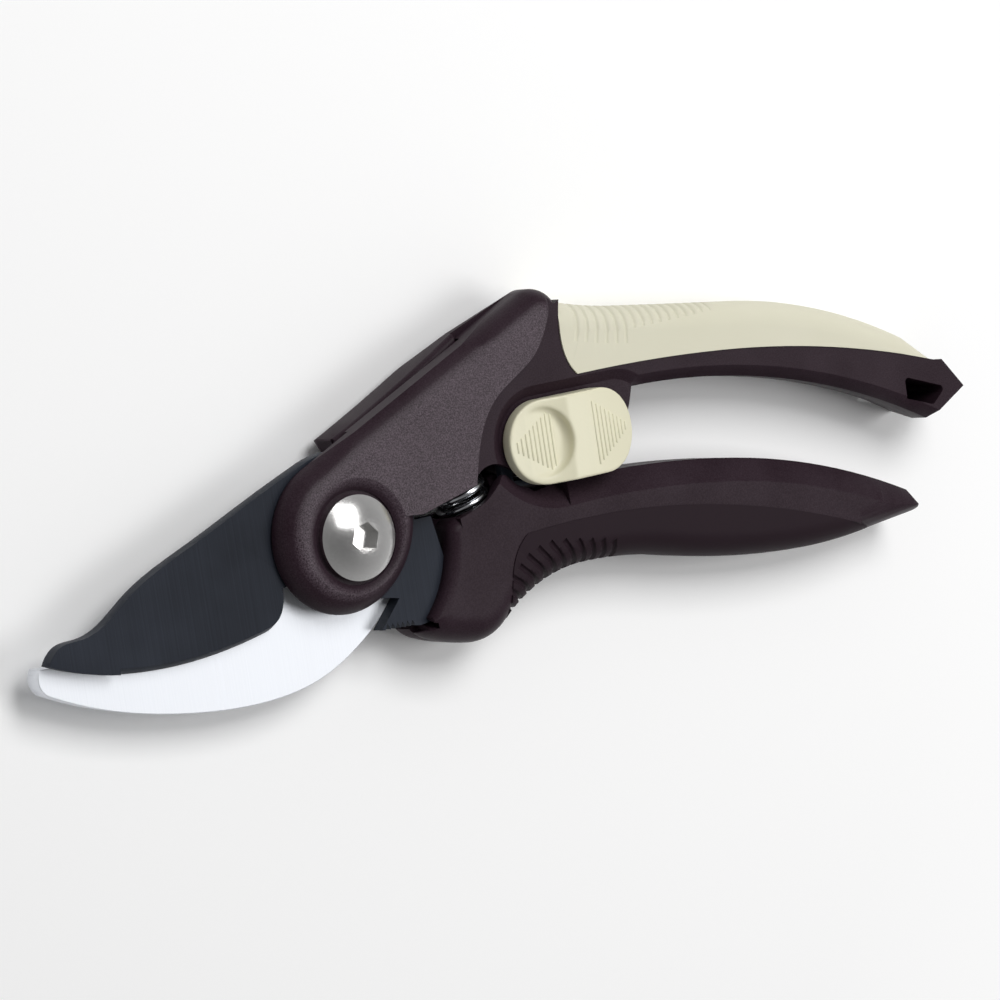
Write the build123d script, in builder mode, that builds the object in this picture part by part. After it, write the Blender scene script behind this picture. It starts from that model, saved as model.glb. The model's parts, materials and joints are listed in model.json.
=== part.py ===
import os
from math import copysign, cos, degrees, pi, radians, sin, sqrt

from build123d import *

os.makedirs("parts", exist_ok=True)

# Bypass pruning shears, closed, lying on their back. The pivot's axis is +Z, the blades point along -X,
# the handles along +X, and the handle that carries the counter blade is on the +Y side.

# Layers through the thickness, from the back face at z = 0
back_web = 4.4
counter_blade_thickness = 4.0
blade_gap = 0.05
blade_thickness = 3.0
washer_thickness = 0.3
cheek_thickness = 4.25
bar_step = 1.4
counter_blade_top = back_web + counter_blade_thickness
blade_base = counter_blade_top + blade_gap
blade_top = blade_base + blade_thickness
cheek_base = blade_top + washer_thickness
panel_top = cheek_base + cheek_thickness
bar_top = panel_top - bar_step
spare = 1.0

# Pivot bolt, sleeve and nut
sleeve_radius = 5.0
bolt_radius = 3.0
fixed_clearance = 0.02
turning_clearance = 0.05
seat_floor = 2.95
head_radius = 7.7
head_rim = 1.2
dome_height = 2.4
socket_across_flats = 5.0
socket_depth = 2.6
socket_turn = 10.0
counterbore_radius = 8.5
dish_radius = 10.7
dish_depth = 1.0
thrust_washer_radius = 11.0
nut_across_flats = 10.0
nut_height = 3.0
nut_washer_radius = 7.2
nut_washer_thickness = 0.8
nut_recess_clearance = 0.4
bolt_tail = 0.3
head_seat = cheek_base + seat_floor
nut_top = back_web - nut_washer_thickness

# Upper housing: a lobe round the pivot, a straight spine rising from it, and a hump
lobe_centre = (-1.5, 0.65)
lobe_radius = 14.15
spine_angle = 24.2
spine_length = 57.4
slot_length = 42.4
slot_depth = 4.0
root_radius = 19.0
roll_width = 5.0
roll_drop = 1.9
lobe_roll_drop = 3.9
lobe_roll_run_out = (16.0, 1.9)
skirt_start = 12.0
skirt_drop = 1.0
skirt_width = 1.5
hump_share = 0.6
hump_run = 5.3
hump_fall = 4.9
hump_roll_drop = 5.0
hump_roll_run_in = (-4.0, 1.6)
hump_roll_lead = 6.0
lobe_corner_angle = 3.4
lobe_corner_out = 1.65
lobe_side_angle = -65.0
panel_foot = (26.8, 4.6)
crease = ((47.4, 31.0), (44.2, 26.2), (39.0, 22.6), (33.9, 19.4), (30.6, 15.5), (28.4, 10.5))
back_lobe_radius = 13.0
back_lobe_angles = (13.0, 70.0)
lip_tip = (1.9, 17.2)
lip_setback = 10.2
lip_out = -0.2
lip_bulge = (27.0, 0.1)
lip_end_out = 1.1
lip_ridge_height = 1.3
lip_ridge_width = 1.2
lip_ridge_roll = 1.2
lip_ridge_end_gap = 0.9
back_roll_width = 4.0
back_roll_drop = 4.5
hump_bevel_start = (28.0, 4.0)
hump_bevel_width = 5.0
under_bevel_width = 2.0

# Upper handle bar, with the seam where the soft grip begins
bar_tip = (138.2, -2.2)
underside = ((66.5, 16.1), (95.0, 13.4), bar_tip)
underside_run_out = (145.1, -6.3)
button_bay = ((65.0, 12.0), (59.0, 3.2), (41.5, 3.2))
root_edge = ((37.5, 5.4), (33.0, 7.4))
seam_end = (140.6, 9.0)
grip_tip = (142.6, 8.8)
bar_end = (seam_end, grip_tip, (143.7, 7.4), (147.4, 2.7), bar_tip)
seam = ((53.6, 20.6), (88.0, 19.5), seam_end)
seam_heading = 1.0
grip_front = ((51.0, 28.0), (51.8, 23.4))
grip_top = ((66.0, 31.6), (94.0, 28.1), (135.5, 14.5))
grip_top_heading = -7.5
grip_proud = 0.3
grip_roll_width = 5.0
grip_roll_drop = 4.5
bar_chamfer = 2.0
core_base = 3.0
core_cover = 3.0
core_back = ((50.0, 30.5), (72.0, 27.8), (92.0, 25.2), (112.0, 20.5), (133.0, 11.6))
core_front = ((125.0, 11.0), (100.0, 16.0), (75.0, 18.5), (50.0, 19.5))
lanyard_corners = ((132.4, 6.9), (142.7, 3.3), (138.9, 0.3), (132.4, 2.6))
lanyard_corner_radius = 0.8

# Counter blade: a hook whose tang lies between the upper shells
hook_inside = ((-13.5, 3.0), (-17.0, -4.0), (-26.0, -9.0), (-42.0, -11.9), (-63.0, -10.9))
hook_nose = (-63.7, -13.1)
hook_tip = (-62.2, -15.8)
hook_outside = ((-50.0, -21.0), (-35.0, -24.6), (-20.0, -25.9), (-8.0, -24.3), (2.0, -19.5), (10.0, -12.5))
hook_root = ((14.5, -3.0), (15.5, 4.0), (16.5, 11.2), (30.0, 15.5), (44.0, 21.5))
hook_tang_end = (41.5, 28.8)
hook_hub = ((8.0, 16.2), (0.0, 14.6), (-8.0, 12.0))

# Cutting blade: its tang runs into the lower handle and carries the catch that the lock holds
blade_back = ((-61.7, -8.9), (-60.0, -7.6), (-55.5, -7.1), (-50.9, -5.6), (-45.6, -2.0), (-30.7, 4.8),
              (-15.7, 10.9), (-6.0, 14.6))
cutting_edge = ((-13.5, -6.2), (-14.6, -11.1), (-18.0, -13.6), (-31.2, -15.5), (-49.4, -14.6), (-62.7, -10.4))
cutting_edge_heading = 274.5
bevel_width = 1.1
bevel_drop = 2.4
heel = ((9.4, -12.9), (2.0, -11.8), (-6.0, -10.2), (-11.5, -5.5), (-12.9, -4.4))
hub_radius = 15.2
hub_middle = 45.0
tang_top = ((18.8, 0.4), (20.3, -7.4), (36.0, -7.0))
tang_end = ((60.0, -5.4), (62.4, -7.8), (60.0, -10.2))
tang_bottom = ((46.0, -11.0), (34.0, -13.4), (25.0, -17.4), (13.0, -18.6))
catch_left = 44.9
catch_stem = (49.2, 52.4)
catch_underside = 3.6
catch_top = 5.2
tooth_row_start = (12.0, -18.4)
tooth_row_end = (5.5, -18.0)
tooth_row_count = 6
tooth_row_depth = 1.1
tang_corner = (4.7, -17.9)

# Lower handle, with the groove where its soft grip begins
lower_step = 0.4
cheek_top = (23.3, -0.95)
cheek_corner = (21.7, -1.6)
cheek_foot = (12.4, -19.3)
cheek_edge = ((20.8, -3.0), (19.2, -10.5), cheek_foot)
cheek_roll = 2.2
cheek_run_out = 1.5
cheek_belly_lead = 6.0
notch_start = (32.0, -21.6)
cheek_belly = (cheek_foot, (15.2, -21.6), (24.0, -24.1), notch_start)
cheek_belly_heading = -55.0
cheek_belly_run_out = (35.2, -18.8)
bay_wall = ((30.0, 0.5), (35.2, 5.0), (37.3, 4.6), (41.2, 2.6), (46.5, 2.6), (48.5, 1.2), (48.0, 0.0))
horn = (cheek_top, (27.0, 0.1), (29.9, 1.3), (33.0, 3.8), (35.2, 5.0), (37.6, 2.9), (40.7, 1.35),
        (42.0, 0.4))
horn_base = 12.0
lower_end = (131.3, -15.4)
lower_top_edge = ((48.0, 1.3), (90.0, -1.6), lower_end)
lower_top_run_out = (136.5, -18.6)
lower_top_heading = 2.0
facet_start = ((35.7, 7.7), (41.0, 2.9))
facet_width = 4.5
facet_drop = 2.5
groove_end = (121.0, -21.2)
lower_tail = (groove_end, (132.7, -20.1), (133.5, -19.3), lower_end)
lower_tail_roll = ((117.0, -21.58), (136.7, -19.71))
lower_belly = (notch_start, (51.5, -14.5), (71.0, -16.9), (104.0, -21.8), groove_end)
lower_belly_heading = 40.0
groove = ((37.5, -6.4), (80.0, -8.8), groove_end)
groove_heading = 4.0
lower_grip_front = ((32.7, -14.0), (33.9, -10.5))
lower_core_cover = 1.75
lower_core = ((30.0, -5.0), (60.0, -5.0), (85.0, -8.0), (110.0, -14.5), (116.0, -17.5), (104.0, -18.3),
              (88.0, -17.0), (70.0, -13.8), (51.0, -11.2), (40.0, -12.8), (34.0, -14.6), (30.0, -17.0))
lower_grip_proud = 0.2
rib_count = 12
rib_pitch = 2.25
rib_start = 2.6
rib_radius = 0.55
rib_depth = 0.55
lower_top = bar_top - lower_step

# Lock slide: a button over a plate, and a latch behind the plate
button_centre = (49.3, 9.7)
button_length = 28.2
button_width = 15.8
button_rim = 2.6
button_crest = 4.8
button_crest_ends = (-1.6, 2.8)
button_shoulders = ((0.62, 0.16), (0.6, 0.68))
scoop_offset = -8.1
scoop_radius = 6.9
scoop_floor = 2.68
scoop_fillet = 1.4
scoop_tilt = 2.5
slide_gap = 0.15
plate_thickness = 1.65
pocket_clearance = 0.6
pocket_taper = -58.0
lock_travel = 6.0
stem_length = 10.0
stem_width = 6.0
latch_thickness = 1.6
latch_left = 35.5
latch_right = 57.4
latch_bottom = 6.0
latch_top = 14.4
latch_arm_width = 2.5
latch_tooth_reach = 3.4
latch_tooth_height = 1.2
catch_clearance = 0.3
notch_depth = 0.8
notch_half_widths = (0.9, 1.6)
leaf_length = 14.4
leaf_thickness = 0.4
leaf_width = 1.4
leaf_sag = 0.4
leaf_bump_depth = 0.9
leaf_bump_half_widths = (0.4, 1.6)
room_top = 15.6
room_bottom = 2.0
room_sides = (33.0, 64.0)
room_chamfer = (1.5, 5.6)
lock_screw_radius = 1.25
lock_screw_head_radius = 2.2
lock_screw_head_height = 1.4
lock_screw_length = 4.5
plate_top = cheek_base + plate_thickness

# Return spring, squeezed between a seat in each handle
spring_point = (28.6, 2.8)
spring_angle = 104.0
spring_above = 8.0
spring_below = 7.0
spring_mean_radius = 4.5
spring_wire = 1.6
spring_turns = 6
spring_height = 7.0
spring_end_height = 1.03
spring_samples = 240
seat_radius = 5.9
seat_thickness = 1.4
seat_stem_length = 3.0
seat_stem_radius = 3.4
seat_clearance = 0.25

# Fasteners
rivet_radius = 2.0
rivet_overlap = 2.0
blade_rivet_overlap = 0.8
counter_rivets = ((24.0, 19.0), (37.0, 23.5))
blade_rivets_at = ((27.5, -12.0), (54.0, -7.9))
screw_radius = 1.5
screw_head_radius = 2.7
screw_head_height = 2.0
screw_recess = 1.0
screw_grip = 4.0
screw_clearance = 0.1
screw_cross = (3.0, 0.7, 0.9)
upper_screws = ((46.0, 30.5), (113.0, 12.5))
lower_screws = ((58.5, -2.2), (100.0, -8.4))


def at(height):
    return Plane.XY.offset(height)


def heading(angle):
    return Vector(cos(radians(angle)), sin(radians(angle)))


# Arcs through the points, each one tangent to the one before
def arc_chain(angle, points):
    tangent = heading(angle)
    for start, end in zip(points, points[1:]):
        tangent = TangentArc(start, end, tangent=tangent) % 1


# Rolls or bevels an edge along a path of lines and arcs: side is 1 where the open air is on the path's left
def cut_edge(draw_path, height, width, drop, side=1, up=1, rolled=True):
    air = up * spare
    with BuildLine(at(height)) as path:
        draw_path()
    for edge in path.edges():
        tangent = edge % 0
        outward = tangent.rotate(Axis.Z, 90 * side)
        with BuildSketch(Plane(edge @ 0, x_dir=outward, z_dir=tangent * side)) as profile:
            with BuildLine():
                if rolled:
                    TangentArc((-width, 0), (0, -up * drop), tangent=(1, 0))
                else:
                    Line((-width, 0), (0, -up * drop))
                Polyline((0, -up * drop), (drop, -up * drop), (drop, air), (-width, air), (-width, 0))
            make_face()
        if edge.geom_type == GeomType.LINE:
            extrude(profile.sketch, amount=edge.length, dir=tangent, mode=Mode.SUBTRACT)
        else:
            turn = copysign(1, tangent.cross(edge % 0.5).Z)
            pin = Axis(edge.arc_center, (0, 0, turn))
            swing = degrees(edge.length / edge.radius)
            revolve(profile.sketch, axis=pin, revolution_arc=swing, mode=Mode.SUBTRACT)


def cut_cylinders(points, radius, bottom, top):
    with BuildSketch(at(bottom)) as circles:
        with Locations(*points):
            Circle(radius)
    extrude(circles.sketch, amount=top - bottom, mode=Mode.SUBTRACT)


spine_direction = heading(spine_angle)
spine_normal = heading(spine_angle + 90)


# The same place in the plane of a sketch
def on_plan(point):
    return (point.X, point.Y)


# A point by its distance along the spine and its distance out from it
def by_spine(along, out=0.0):
    return on_plan(Vector(*lobe_centre) + spine_direction * along + spine_normal * (lobe_radius + out))


spine_start = by_spine(0)
spine_end = by_spine(spine_length)
hump_end = by_spine(spine_length + hump_run, -hump_fall)
slot_end = by_spine(slot_length)
slot_corner = by_spine(slot_length + slot_depth / 2, -slot_depth)
lip_start = by_spine(lip_setback, lip_out)
lip_end = by_spine(slot_length, lip_end_out)
hump_top = on_plan(TangentArc(spine_end, hump_end, tangent=spine_direction) @ hump_share)
hump_roll_start = by_spine(slot_length + hump_roll_run_in[0], hump_roll_run_in[1])
hump_roll_join = by_spine(slot_length + hump_roll_lead)
hump_roll_middle = on_plan(TangentArc(hump_roll_join, hump_roll_start, tangent=-spine_direction) @ 0.5)
lobe_corner = on_plan(Vector(*lobe_centre) + heading(lobe_corner_angle) * (lobe_radius + lobe_corner_out))
lobe_side_end = on_plan(Vector(*lobe_centre) + heading(lobe_side_angle) * lobe_radius)
lobe_side_heading = heading(lobe_side_angle + 90)
lobe_side_middle = on_plan(TangentArc(lobe_side_end, lobe_corner, tangent=lobe_side_heading) @ 0.5)
lobe_bottom = (lobe_centre[0], lobe_centre[1] - lobe_radius)
slot_floor = spine_normal.dot(Vector(*slot_corner))
root_peak = spine_normal * slot_floor + spine_direction * sqrt(root_radius**2 - slot_floor**2)
root_top = on_plan(root_peak)
foot_slope = (panel_foot[1] - lobe_corner[1]) / (panel_foot[0] - lobe_corner[0])
root_foot = (root_radius, lobe_corner[1] + (root_radius - lobe_corner[0]) * foot_slope)


def draw_underside():
    arc_chain(0, underside)


# The path of the underside's bevels, run out past the handle's end
def draw_underside_bevel():
    arc_chain(0, (*underside, underside_run_out))


# The edge that both upper shells share, from the hump round the handle to the foot of the panel
def draw_handle_side():
    TangentArc(spine_end, hump_end, tangent=spine_direction)
    Spline(hump_end, *grip_front, seam[0])
    arc_chain(seam_heading, seam)
    Polyline(*bar_end)
    draw_underside()
    Spline(underside[0], *button_bay[:2])
    Line(*button_bay[1:])
    Spline(button_bay[-1], *root_edge, panel_foot)


# The bar's tongue that the upper grip is pushed over
def draw_upper_core():
    Spline(*core_back)
    Polyline(core_back[-1], *core_front, core_back[0])


# The front cheek's edge round the pivot, clockwise from the foot of the panel to the spine
def draw_lobe():
    ThreePointArc(lobe_corner, lobe_side_middle, lobe_side_end)
    ThreePointArc(lobe_side_end, lobe_bottom, spine_start)


# The rolled edge of the front cheek, up the spine and over the hump
def draw_front_roll():
    Line(spine_start, spine_end)
    TangentArc(spine_end, hump_end, tangent=spine_direction)


# The deeper roll past the slot, where the hump runs down to the back shell
def draw_hump_roll():
    ThreePointArc(hump_roll_start, hump_roll_middle, hump_roll_join)
    Line(hump_roll_join, spine_end)
    TangentArc(spine_end, hump_end, tangent=spine_direction)


# The deeper roll round the lobe, which fades out along the spine
def draw_lobe_roll():
    draw_lobe()
    TangentArc(spine_start, by_spine(*lobe_roll_run_out), tangent=spine_direction)


# The lip's outer edge, which bulges past the spine
def draw_lip_edge():
    ThreePointArc(lip_start, by_spine(*lip_bulge), lip_end)


# Room for the latch between the two shells
def cut_lock_room(bottom, top):
    with BuildSketch(at(bottom)) as room:
        left, right = room_sides
        Polygon((left, room_bottom), (right, room_bottom), (right, room_top),
                (left + room_chamfer[0], room_top), (left, room_top - room_chamfer[1]), align=None)
    extrude(room.sketch, amount=top - bottom, mode=Mode.SUBTRACT)


def cut_lanyard_slot():
    with BuildSketch() as slot:
        Polygon(*lanyard_corners, align=None)
        fillet(slot.vertices(), lanyard_corner_radius)
    extrude(slot.sketch, amount=panel_top, mode=Mode.SUBTRACT)


spring_axis = heading(spring_angle)
spring_centre = Vector(*spring_point) + Vector(0, 0, spring_height)
spring_foot = Plane(spring_centre - spring_axis * spring_below, x_dir=(0, 0, 1), z_dir=spring_axis)
spring_head = Plane(spring_centre + spring_axis * spring_above, x_dir=(0, 0, 1), z_dir=-spring_axis)


def cut_spring_room(seat_plane, length):
    with BuildSketch(seat_plane.offset(-seat_thickness)) as room:
        Circle(seat_radius + seat_clearance)
    extrude(room.sketch, amount=length, mode=Mode.SUBTRACT)


with BuildPart() as upper_front_shell:
    with BuildSketch(at(counter_blade_top)):
        with BuildLine():
            Line(slot_end, spine_end)
            draw_handle_side()
            Line(panel_foot, root_foot)
            RadiusArc(root_foot, root_top, -Vector(*root_foot).length)
            Line(root_top, slot_corner)
            Line(slot_corner, slot_end)
        make_face()
    extrude(amount=bar_top - counter_blade_top)
    with BuildSketch(at(counter_blade_top)):
        with BuildLine():
            draw_upper_core()
        make_face()
    extrude(amount=bar_top - core_cover - counter_blade_top)
    with BuildSketch(at(cheek_base)):
        with BuildLine():
            draw_lobe()
            Line(spine_start, spine_end)
            TangentArc(spine_end, hump_top, tangent=spine_direction)
            Spline(hump_top, *crease, panel_foot)
            Line(panel_foot, lobe_corner)
        make_face()
    extrude(amount=cheek_thickness)
    with BuildSketch(at(cheek_base - skirt_drop)):
        skirt_end = slot_length + skirt_width
        Polygon(by_spine(skirt_start), by_spine(skirt_end), by_spine(skirt_end, -skirt_width),
                by_spine(skirt_start, -skirt_width), align=None)
    extrude(amount=skirt_drop)

    cut_edge(draw_underside_bevel, bar_top, bar_chamfer, bar_chamfer, side=-1, rolled=False)
    cut_edge(draw_front_roll, panel_top, roll_width, roll_drop)
    cut_edge(draw_lobe_roll, panel_top, roll_width, lobe_roll_drop)
    cut_edge(draw_hump_roll, panel_top, roll_width, hump_roll_drop)
    slide_middle = (button_centre[0] + lock_travel / 2, button_centre[1])
    pocket_length = button_length + lock_travel + 2 * pocket_clearance
    with BuildSketch(at(plate_top)):
        with Locations(slide_middle):
            SlotOverall(pocket_length, button_width + 2 * pocket_clearance)
    extrude(amount=panel_top - plate_top, taper=pocket_taper, mode=Mode.SUBTRACT)
    cut_lock_room(counter_blade_top, cheek_base)
    with BuildSketch(at(cheek_base)):
        with Locations(slide_middle):
            Rectangle(stem_length + lock_travel + 2 * slide_gap, stem_width + 2 * slide_gap)
    extrude(amount=plate_thickness, mode=Mode.SUBTRACT)
    cut_spring_room(spring_head, spring_above + spring_below)
    cut_lanyard_slot()
    cut_cylinders([(0, 0)], sleeve_radius + turning_clearance, cheek_base, panel_top)
    cut_cylinders([(0, 0)], counterbore_radius, head_seat, panel_top)
    with BuildSketch(Plane.XZ):
        with BuildLine():
            dish_floor = panel_top - dish_depth
            dish_air = panel_top + spare
            Polyline((0, dish_floor), (counterbore_radius, dish_floor), (dish_radius, panel_top),
                     (dish_radius, dish_air), (0, dish_air), close=True)
        make_face()
    revolve(axis=Axis.Z, mode=Mode.SUBTRACT)
    cut_cylinders(counter_rivets, rivet_radius, counter_blade_top, counter_blade_top + rivet_overlap)
    cut_cylinders(upper_screws, screw_radius, counter_blade_top, counter_blade_top + screw_grip)


# Holes of the screws that come in from behind
def cut_screw_heads(points, parting):
    cut_cylinders(points, screw_head_radius + screw_clearance, 0, screw_recess + screw_head_height)
    cut_cylinders(points, screw_radius + screw_clearance, 0, parting)


def draw_counter_blade():
    Spline(*hook_inside)
    ThreePointArc(hook_inside[-1], hook_nose, hook_tip)
    Spline(hook_tip, *hook_outside, hook_root[0])
    Polyline(*hook_root)
    RadiusArc(hook_root[-1], hook_tang_end, -Vector(*hook_root[-1]).sub(Vector(*hook_tang_end)).length)
    Line(hook_tang_end, hook_hub[0])
    Spline(*hook_hub, hook_inside[0])


with BuildPart() as upper_back_shell:
    lobe_start = heading(back_lobe_angles[0]) * back_lobe_radius
    lobe_end = heading(back_lobe_angles[1]) * back_lobe_radius
    with BuildSketch():
        with BuildLine():
            draw_lip_edge()
            Line(lip_end, spine_end)
            draw_handle_side()
            Line(panel_foot, lobe_start)
            ThreePointArc(lobe_start, (-back_lobe_radius, 0), lobe_end)
            Line(lobe_end, lip_tip)
            Line(lip_tip, lip_start)
        make_face()
    extrude(amount=counter_blade_top)
    with BuildSketch(at(core_base)):
        with BuildLine():
            draw_upper_core()
        make_face()
    extrude(amount=counter_blade_top - core_base)
    with BuildSketch(at(counter_blade_top)):
        with BuildLine():
            draw_lip_edge()
            Polyline(lip_end, by_spine(slot_length - lip_ridge_end_gap, -lip_ridge_width),
                     by_spine(lip_setback, -lip_ridge_width), lip_start)
        make_face()
    extrude(amount=lip_ridge_height)
    cut_edge(draw_lip_edge, counter_blade_top + lip_ridge_height, lip_ridge_roll, lip_ridge_roll)

    def draw_back_roll():
        draw_lip_edge()
        Line(lip_end, spine_end)
        TangentArc(spine_end, hump_end, tangent=spine_direction)

    def draw_lip():
        Polyline(lobe_end, lip_tip, lip_start)

    def draw_hump_bevel():
        start = by_spine(*hump_bevel_start)
        TangentArc(spine_end, hump_end, tangent=Line(start, spine_end) % 1)

    cut_edge(draw_back_roll, 0, back_roll_width, back_roll_drop, up=-1)
    cut_edge(draw_lip, 0, back_roll_width, back_roll_drop, up=-1)
    cut_edge(draw_hump_bevel, 0, hump_bevel_width, counter_blade_top, up=-1, rolled=False)
    cut_edge(draw_underside_bevel, 0, under_bevel_width, counter_blade_top, side=-1, up=-1, rolled=False)
    with BuildSketch(at(back_web)):
        with BuildLine():
            draw_counter_blade()
        make_face()
    extrude(amount=counter_blade_thickness, mode=Mode.SUBTRACT)
    cut_lock_room(back_web, counter_blade_top)
    cut_spring_room(spring_head, spring_above + spring_below)
    cut_lanyard_slot()
    cut_cylinders([(0, 0)], nut_washer_radius + nut_recess_clearance, 0, back_web)
    cut_cylinders(counter_rivets, rivet_radius, back_web - rivet_overlap, back_web)
    cut_screw_heads(upper_screws, counter_blade_top)


# The upper grip's outer edge: a back that runs to the handle's end, and a rise to the hump
def draw_grip_back():
    arc_chain(grip_top_heading, grip_top)
    Line(grip_top[-1], grip_tip)


def draw_grip_rise():
    TangentArc(grip_top[0], hump_end, tangent=heading(grip_top_heading + 180))


with BuildPart() as upper_grip:
    with BuildSketch():
        with BuildLine():
            draw_grip_back()
            draw_grip_rise()
            Spline(hump_end, *grip_front, seam[0])
            arc_chain(seam_heading, seam)
            Line(seam[-1], grip_tip)
        make_face()
    extrude(amount=bar_top + grip_proud)
    with BuildSketch(at(core_base)):
        with BuildLine():
            draw_upper_core()
        make_face()
    extrude(amount=bar_top - core_cover - core_base, mode=Mode.SUBTRACT)
    for height, up in ((bar_top + grip_proud, 1), (0, -1)):
        cut_edge(draw_grip_back, height, grip_roll_width, grip_roll_drop, up=up)
        cut_edge(draw_grip_rise, height, grip_roll_width, grip_roll_drop, side=-1, up=up)


with BuildPart() as counter_blade:
    with BuildSketch(at(back_web)):
        with BuildLine():
            draw_counter_blade()
        make_face()
    extrude(amount=counter_blade_thickness)
    cut_cylinders([(0, 0)], sleeve_radius + fixed_clearance, back_web, counter_blade_top)
    cut_cylinders(counter_rivets, rivet_radius, back_web, counter_blade_top)


def draw_cutting_edge():
    arc_chain(cutting_edge_heading, cutting_edge)


def draw_cutting_blade():
    hub_start = blade_back[-1]
    hub_end = (hub_radius, tang_top[0][1])
    step = (Vector(*tooth_row_end) - Vector(*tooth_row_start)) / tooth_row_count
    teeth = [tooth_row_start]
    for index in range(tooth_row_count):
        valley = Vector(*tooth_row_start) + step * (index + 0.5)
        crest = Vector(*tooth_row_start) + step * (index + 1)
        teeth += [(valley.X, valley.Y + tooth_row_depth), (crest.X, crest.Y)]
    Spline(cutting_edge[-1], *blade_back)
    ThreePointArc(hub_start, heading(hub_middle) * hub_radius, hub_end)
    Polyline(hub_end, *tang_top, (catch_stem[0], tang_top[-1][1]), (catch_stem[0], catch_underside),
             (catch_left, catch_underside), (catch_left, catch_top), (catch_stem[1], catch_top),
             (catch_stem[1], tang_end[0][1]), tang_end[0])
    ThreePointArc(*tang_end)
    Polyline(tang_end[-1], *tang_bottom, *teeth, tang_corner, heel[0])
    Spline(*heel, cutting_edge[0])
    draw_cutting_edge()


with BuildPart() as cutting_blade:
    with BuildSketch(at(blade_base)):
        with BuildLine():
            draw_cutting_blade()
        make_face()
    extrude(amount=blade_thickness)
    cut_edge(draw_cutting_edge, blade_top, bevel_width, bevel_drop, rolled=False)
    cut_cylinders([(0, 0)], sleeve_radius + turning_clearance, blade_base, blade_top)
    cut_cylinders(blade_rivets_at, rivet_radius, blade_base, blade_top)


def draw_cheek_edge():
    ThreePointArc(cheek_top, cheek_corner, cheek_edge[0])
    ThreePointArc(*cheek_edge)


# The edge that both lower shells share, from the grip's groove round the cheek to the handle's end
def draw_lower_shell():
    arc_chain(groove_heading, groove)
    Spline(notch_start, *lower_grip_front, groove[0])
    arc_chain(cheek_belly_heading, cheek_belly)
    draw_cheek_edge()
    Line(cheek_top, lower_top_edge[0])
    arc_chain(lower_top_heading, lower_top_edge)
    Polyline(*lower_tail)


# The tongue of both lower shells that the lower grip is pushed over
def draw_lower_core():
    Polyline(*lower_core, close=True)


# The path of the lower handle's top bevels, run out past its end
def draw_lower_top():
    arc_chain(lower_top_heading, (*lower_top_edge, lower_top_run_out))


# The paths of the cheek's rolls, each run out past the corner between them
def draw_cheek_roll():
    draw_cheek_edge()
    end = ThreePointArc(*cheek_edge, mode=Mode.PRIVATE) % 1
    Line(cheek_foot, Vector(*cheek_foot) + end * cheek_run_out)


def draw_cheek_belly():
    Line(Vector(*cheek_foot) - heading(cheek_belly_heading) * cheek_belly_lead, cheek_foot)
    arc_chain(cheek_belly_heading, (*cheek_belly, cheek_belly_run_out))


def draw_lower_tail_roll():
    Line(*lower_tail_roll)


with BuildPart() as lower_front_shell:
    with BuildSketch(at(blade_base)):
        with BuildLine():
            draw_lower_shell()
        make_face()
    extrude(amount=lower_top - blade_base)
    with BuildSketch(at(horn_base)):
        with BuildLine():
            Spline(*horn)
            Line(horn[-1], horn[0])
        make_face()
    extrude(amount=lower_top - horn_base)
    with BuildSketch(at(blade_base)):
        with BuildLine():
            draw_lower_core()
        make_face()
    extrude(amount=lower_top - lower_core_cover - blade_base)

    def draw_facet():
        ThreePointArc(*facet_start, lower_top_edge[0])
        draw_lower_top()

    cut_edge(draw_facet, lower_top, facet_width, facet_drop, rolled=False)
    cut_edge(draw_cheek_roll, lower_top, cheek_roll, cheek_roll, side=-1)
    cut_edge(draw_cheek_belly, lower_top, grip_roll_width, grip_roll_drop, side=-1)
    cut_edge(draw_lower_tail_roll, lower_top, grip_roll_width, grip_roll_drop, side=-1)
    with BuildSketch(at(blade_base)):
        with BuildLine():
            draw_cutting_blade()
        make_face()
    extrude(amount=blade_thickness, mode=Mode.SUBTRACT)
    cut_spring_room(spring_foot, spring_above + spring_below)
    cut_cylinders(blade_rivets_at, rivet_radius, blade_top, blade_top + blade_rivet_overlap)
    cut_cylinders(lower_screws, screw_radius, blade_base, blade_base + screw_grip)


with BuildPart() as lower_back_shell:
    with BuildSketch():
        with BuildLine():
            draw_lower_shell()
        make_face()
    extrude(amount=blade_base)
    with BuildSketch(at(core_base)):
        with BuildLine():
            draw_lower_core()
        make_face()
    extrude(amount=blade_base - core_base)
    with BuildSketch():
        Polygon(*bay_wall, align=None)
    extrude(amount=blade_base)
    cut_edge(draw_lower_top, 0, back_roll_width, back_roll_drop, up=-1)
    cut_edge(draw_cheek_belly, 0, grip_roll_width, grip_roll_drop, side=-1, up=-1)
    cut_edge(draw_lower_tail_roll, 0, grip_roll_width, grip_roll_drop, side=-1, up=-1)
    cut_spring_room(spring_foot, spring_above + spring_below)
    cut_cylinders(blade_rivets_at, rivet_radius, blade_base - blade_rivet_overlap, blade_base)
    cut_screw_heads(lower_screws, blade_base)


def draw_lower_belly():
    arc_chain(lower_belly_heading, lower_belly)


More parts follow.
